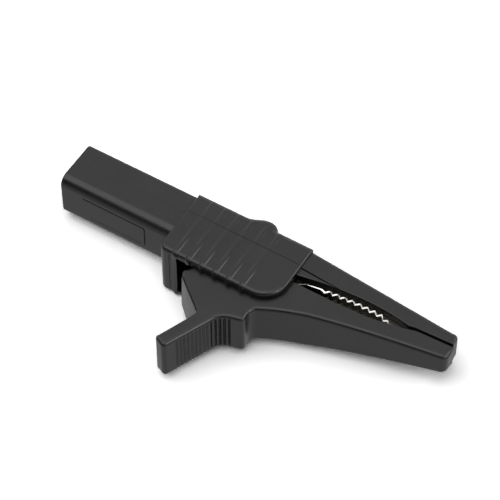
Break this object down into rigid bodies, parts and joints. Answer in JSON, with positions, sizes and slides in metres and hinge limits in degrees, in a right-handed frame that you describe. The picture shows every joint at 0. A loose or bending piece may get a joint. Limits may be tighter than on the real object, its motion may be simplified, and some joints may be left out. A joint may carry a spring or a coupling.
{
  "type": "crocodile clip",
  "caption": "Fully insulated crocodile clip: square socketed handle, ribbed saddle, and a sprung trigger whose toothed jaw swings open on a hidden pin.",
  "frame": {"origin": "centre of the plug socket's mouth, on the socket's axis", "axes": "+X along the socket's axis from the handle to the jaw tips, +Y towards the clip's back, away from the trigger, +Z across the clip, up as it lies on its flank"},
  "size_m": [0.1161, 0.0479, 0.019],
  "materials": {
    "shell": "satin moulded polyamide, black",
    "liner": "satin moulded polyamide, black",
    "socket_metal": "turned brass, nickel-plated",
    "contact_metal": "pressed sheet, nickel-plated",
    "steel": "bright drawn steel",
    "spool": "natural acetal"
  },
  "bodies": {
    "clip_body": {"spine_shell": "shell", "cheek_shell": "shell", "socket_liner": "liner", "plug_socket": "socket_metal", "socket_guard": "liner", "lock_washer": "steel", "socket_nut": "socket_metal", "fixed_jaw_contact": "contact_metal", "pivot_pin": "steel", "pivot_spool": "spool", "contact_washers": "contact_metal", "torsion_spring": "steel"},
    "trigger": {"trigger_jaw": "shell", "moving_jaw_contact": "contact_metal"}
  },
  "joints": [
    {"name": "jaw_pivot", "type": "hinge", "parent": "clip_body", "child": "trigger", "pos_m": [0.0614, -0.0062, 0], "axis": [0, 0, -1], "range_deg": [0, 30], "stiffness_Nm_per_rad": 0.2, "springref_deg": -28.65, "deforming": ["torsion_spring"]}
  ]
}
